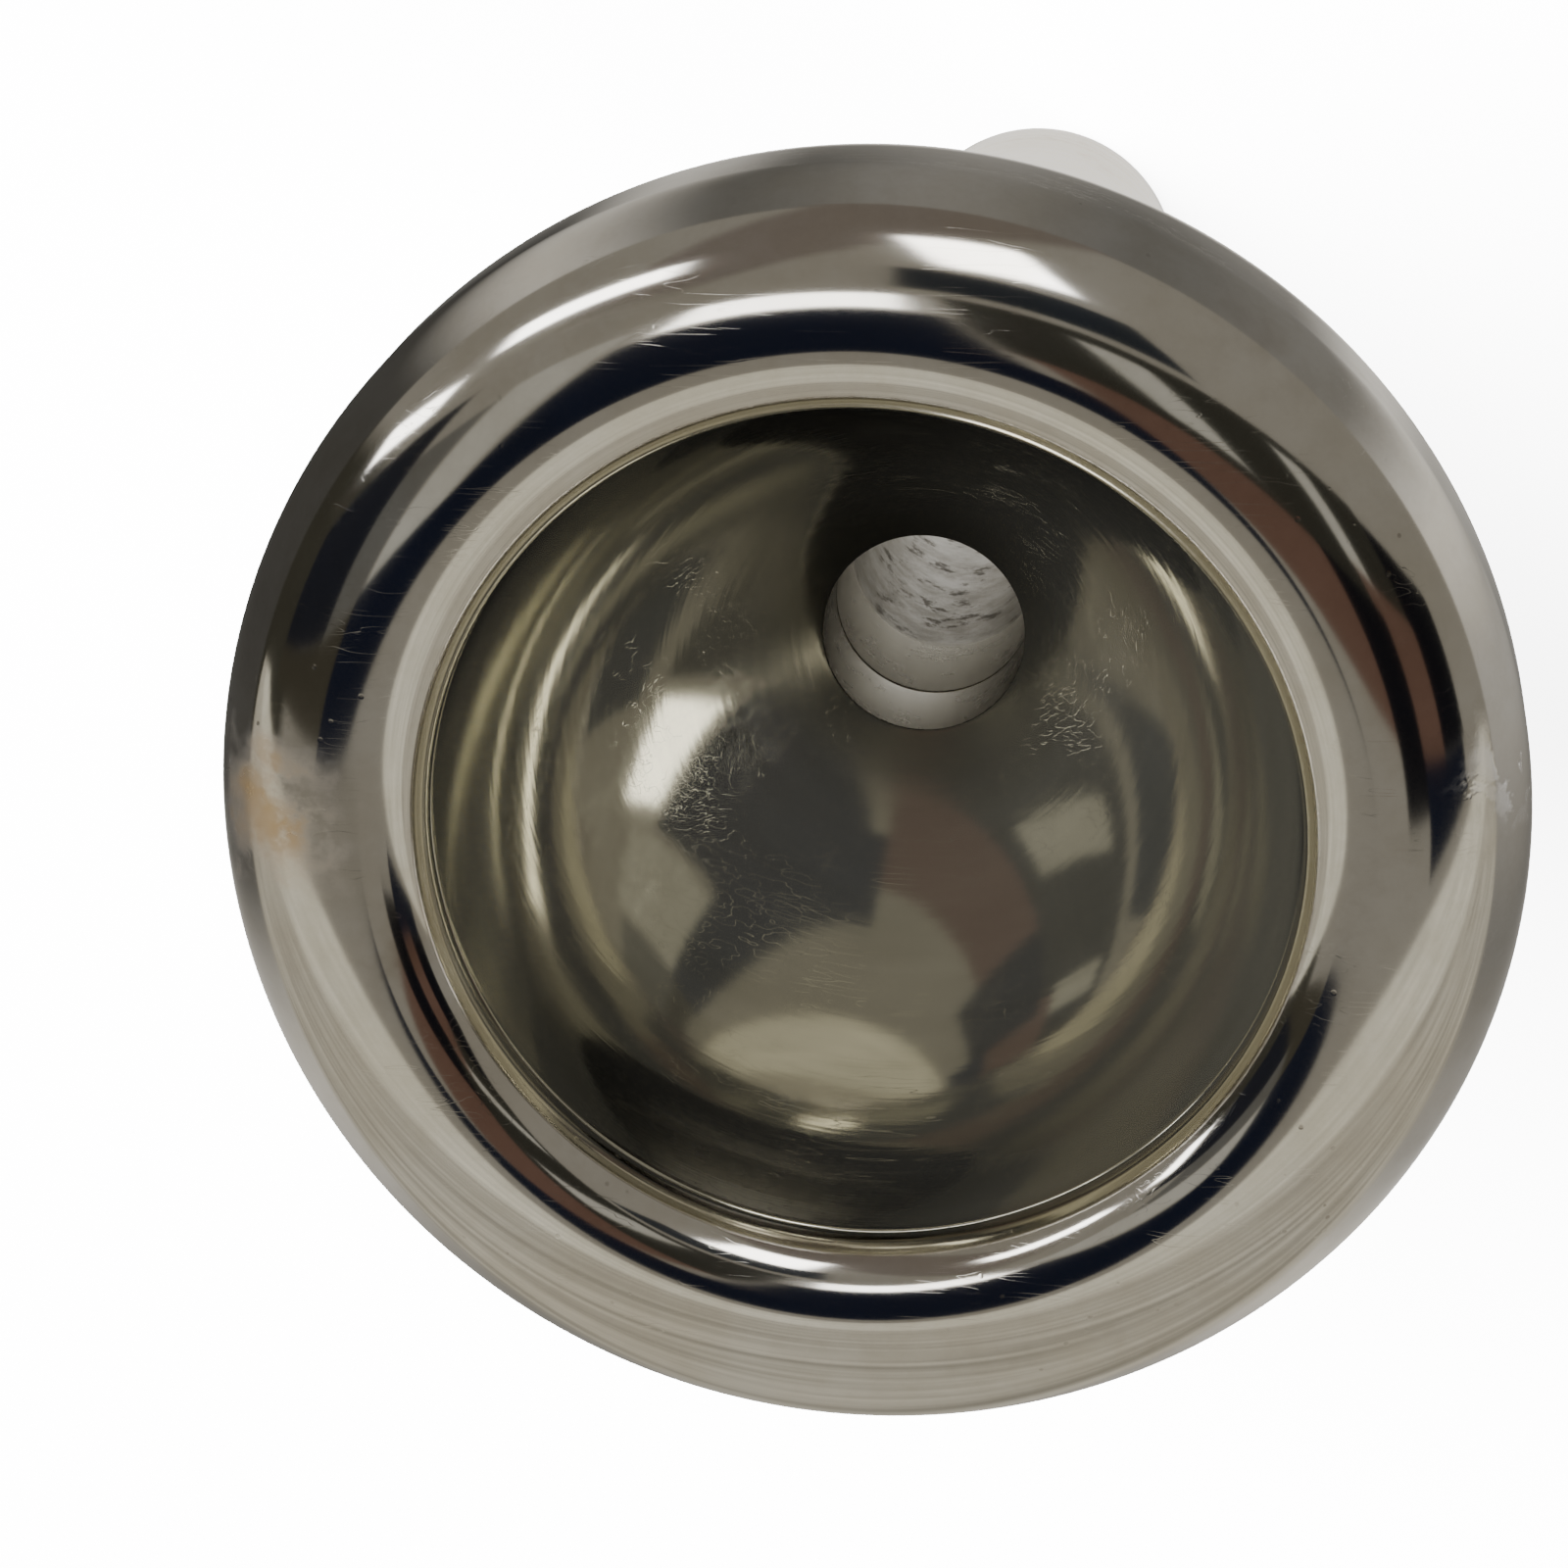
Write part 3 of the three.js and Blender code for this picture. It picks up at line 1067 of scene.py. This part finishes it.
def placed_card(name, sides, centre, axes, colour, strength=1.0, grain=0.0, soft=0.0):
    bpy.ops.object.select_all(action="DESELECT")
    bpy.ops.mesh.primitive_plane_add(size=1)
    made = bpy.context.object
    made.name = name
    right, up = axes
    turn = Matrix((right, up, right.cross(up))).transposed().to_4x4()
    size = Matrix.Diagonal((sides[0] * MM, sides[1] * MM, 1, 1))
    made.matrix_world = Matrix.Translation(centre * MM) @ turn @ size
    made.data.materials.append(glow(name, colour, strength, grain, soft=soft))
    only_reflected(made)
    return made


def board(name, left, right, near, far, rise, colour, strength=1.0):
    """A level board this far above the crest, between these sides, in millimetres."""
    return placed_card(
        name,
        (right - left, far - near),
        Vector(((left + right) / 2, (near + far) / 2, crest_z + rise)),
        (Vector((1, 0, 0)), Vector((0, 1, 0))),
        colour,
        strength,
    )


boards = [
    board("low_left_board", -420, -88, -36, -12, 120, (0.040, 0.036, 0.026)),
    board("far_left_board", -420, -134, -12, 78, 122, (0.012, 0.013, 0.018)),
    board("left_board", -134, -90, -12, 46, 121, mid_grey),
    board("pale_board", -88, -54, -10, 52, 121, pale_grey),
    board("low_middle_board", -90, 4, -38, -8, 119, navy),
    board("middle_board", -50, 0, -8, 36, 119, navy),
    board("small_window", -44, -6, 40, 62, 121, window_white, 5.0),
    board("dark_board", 2, 150, 6, 66, 120, olive),
    board("first_slot", 26, 42, 16, 54, 118, pale_grey),
    board("second_slot", 84, 100, 18, 56, 118, pale_grey),
    board("high_board", -6, 70, 76, 120, 121, (0.016, 0.019, 0.024)),
    board("brown_board", 4, 60, -26, 8, 119, umber),
    board("black_board", 56, 96, -38, 8, 118, near_black),
    board("far_brown_board", 88, 156, -28, 18, 119, umber),
    board("low_right_board", 96, 270, -52, -26, 118, navy),
    board("far_right_board", 150, 300, -26, 60, 120, near_black),
]
print(len(boards), "boards")


# %% Hang the far softboxes
def far_card(name, right, up, wide, high, colour, strength, roll=0.0, away=1200):
    """A card seen from the rim at these angles from the axis, in degrees."""
    turn = math.radians(math.hypot(right, up))
    side = Vector((right, up, 0)).normalized()
    direction = side * math.sin(turn) + Vector((0, 0, math.cos(turn)))
    across = direction.cross(Vector((0, -1, 0))).normalized()
    across = Matrix.Rotation(math.radians(roll), 3, direction) @ across
    size = [2 * away * math.tan(math.radians(angle / 2)) for angle in (wide, high)]
    centre = Vector((0, 0, crest_z)) + direction * away
    axes = (across, direction.cross(across))
    return placed_card(name, size, centre, axes, colour, strength, soft=0.16)


softboxes = [
    far_card("top_window", 9, 56, 17, 24, window_white, 7.0),
    far_card("left_window", -40, 46, 24, 9, window_white, 7.0, roll=35),
    far_card("far_left_window", -62, 28, 17, 7, window_white, 6.0, roll=20),
    far_card("back_wall", 4, 88, 120, 34, (0.145, 0.125, 0.108), 1.0),
    far_card("left_wall", -90, 4, 64, 44, (0.036, 0.034, 0.026), 1.0),
]
print(len(softboxes), "far cards")


# %% Lay the pale table along the lower side
def table_strip(name, start_rise, end_rise, colour):
    """Part of the surface that the rim and the shank's end would lie on, between two rises."""
    slope = math.atan2(rim_radius - shank_end_radius, bite_z)
    out = Vector((0, -math.sin(slope), math.cos(slope)))
    start = Vector((0, -rim_radius - 0.6, bite_z))
    return placed_card(
        name,
        (840, end_rise - start_rise),
        start + out * (start_rise + end_rise) / 2,
        (Vector((1, 0, 0)), out),
        colour,
        grain=0.4,
        soft=0.08,
    )


table_strip("table_beside_the_rim", -3, 26, (0.42, 0.393, 0.325))
table_strip("table_in_front", 19, 58, (0.62, 0.59, 0.49))
print("the table lies along the lower side")


# %% Lay the floor and hang the backdrop
def disc(name, radius, height, material):
    bpy.ops.object.select_all(action="DESELECT")
    bpy.ops.mesh.primitive_circle_add(
        vertices=96, radius=radius * MM, fill_type="NGON", location=(0, 0, height * MM)
    )
    made = bpy.context.object
    made.name = name
    made.data.materials.append(material)
    return made


def floor_white():
    material = bpy.data.materials.new("floor_white")
    material.use_nodes = True
    shader = material.node_tree.nodes["Principled BSDF"]
    shader.inputs["Base Color"].default_value = (0.88, 0.88, 0.88, 1)
    shader.inputs["Roughness"].default_value = 0.9
    shader.inputs["Specular IOR Level"].default_value = 0.0
    shader.inputs["Emission Color"].default_value = (1, 1, 1, 1)
    shader.inputs["Emission Strength"].default_value = 4.8
    return material


def floor_in_sectors():
    """Glows brightly close to the shank, and in soft sectors of light and shade further out."""
    tint = (0.97, 0.93, 0.85)
    close_level = 1.5
    close_reach, sectors_start = 9 * MM, 36 * MM
    sectors = (
        (-180, 0.06), (-160, 0.08), (-138, 0.62), (-116, 0.26), (-98, 0.42), (-80, 0.42),
        (-64, 0.72), (-46, 0.36), (-28, 0.20), (0, 0.42), (16, 0.75), (36, 0.20),
        (62, 0.14), (88, 0.22), (112, 0.12), (134, 0.55), (154, 0.06), (180, 0.06),
    )
    material = glow("floor_in_sectors", tint)
    tree = material.node_tree
    emission = next(node for node in tree.nodes if node.type == "EMISSION")
    place = next(node for node in tree.nodes if node.type == "TEX_COORD").outputs["Object"]
    angle = add_node(tree, "ShaderNodeTexGradient", gradient_type="RADIAL")
    tree.links.new(place, angle.inputs["Vector"])
    ramp = add_node(tree, "ShaderNodeValToRGB")
    ramp.color_ramp.interpolation = "EASE"
    stops = ramp.color_ramp.elements
    stops.remove(stops[1])
    for index, (azimuth, level) in enumerate(sectors):
        stop = stops.new(azimuth / 360 + 0.5) if index else stops[0]
        stop.position = azimuth / 360 + 0.5
        stop.color = (level, level, level, 1)
    tree.links.new(angle.outputs[1], ramp.inputs[0])
    distance = add_node(tree, "ShaderNodeVectorMath", operation="LENGTH")
    tree.links.new(place, distance.inputs[0])
    away = spread(tree, distance.outputs["Value"], close_reach, sectors_start, 0, 1)
    brightness = add_node(tree, "ShaderNodeMix", data_type="FLOAT")
    brightness.inputs[2].default_value = close_level
    tree.links.new(away, brightness.inputs[0])
    tree.links.new(ramp.outputs[0], brightness.inputs[3])
    tree.links.new(brightness.outputs[0], emission.inputs["Strength"])
    return material


def make_surroundings():
    only_for_camera(disc("floor", 2500, 0, floor_white()))
    only_reflected(disc("floor_glow", 2500, -0.5, floor_in_sectors()))
    bore_glow = glow("bore_glow", (0.82, 0.81, 0.78), 1.6)
    only_reflected(disc("bore_glow", shank_end_radius, -0.2, bore_glow))
    bpy.ops.object.select_all(action="DESELECT")
    bpy.ops.mesh.primitive_uv_sphere_add(segments=64, ring_count=32, radius=2400 * MM)
    backdrop = bpy.context.object
    backdrop.name = "backdrop"
    backdrop.data.materials.append(glow("backdrop_white", (1, 1, 1), 5.2))
    backdrop.visible_diffuse = False
    backdrop.visible_shadow = False
    only_for_camera(backdrop)


make_surroundings()


# %% Hang the softboxes that shade the floor
def softbox(name, place, size, power):
    lamp = bpy.data.objects.new(name, bpy.data.lights.new(name, "AREA"))
    lamp.data.shape = "DISK"
    lamp.data.size = size
    lamp.data.energy = power
    lamp.location = place
    aim = Vector((0, 0, 0.04)) - Vector(place)
    lamp.rotation_euler = aim.to_track_quat("-Z", "Y").to_euler()
    lamp.visible_glossy = False
    lamp.visible_camera = False
    bpy.context.scene.collection.objects.link(lamp)
    return lamp


softbox("overhead_softbox", (-0.35, 0.30, 1.1), 0.6, 170)
softbox("side_softbox", (0.9, -0.5, 0.7), 0.6, 40)
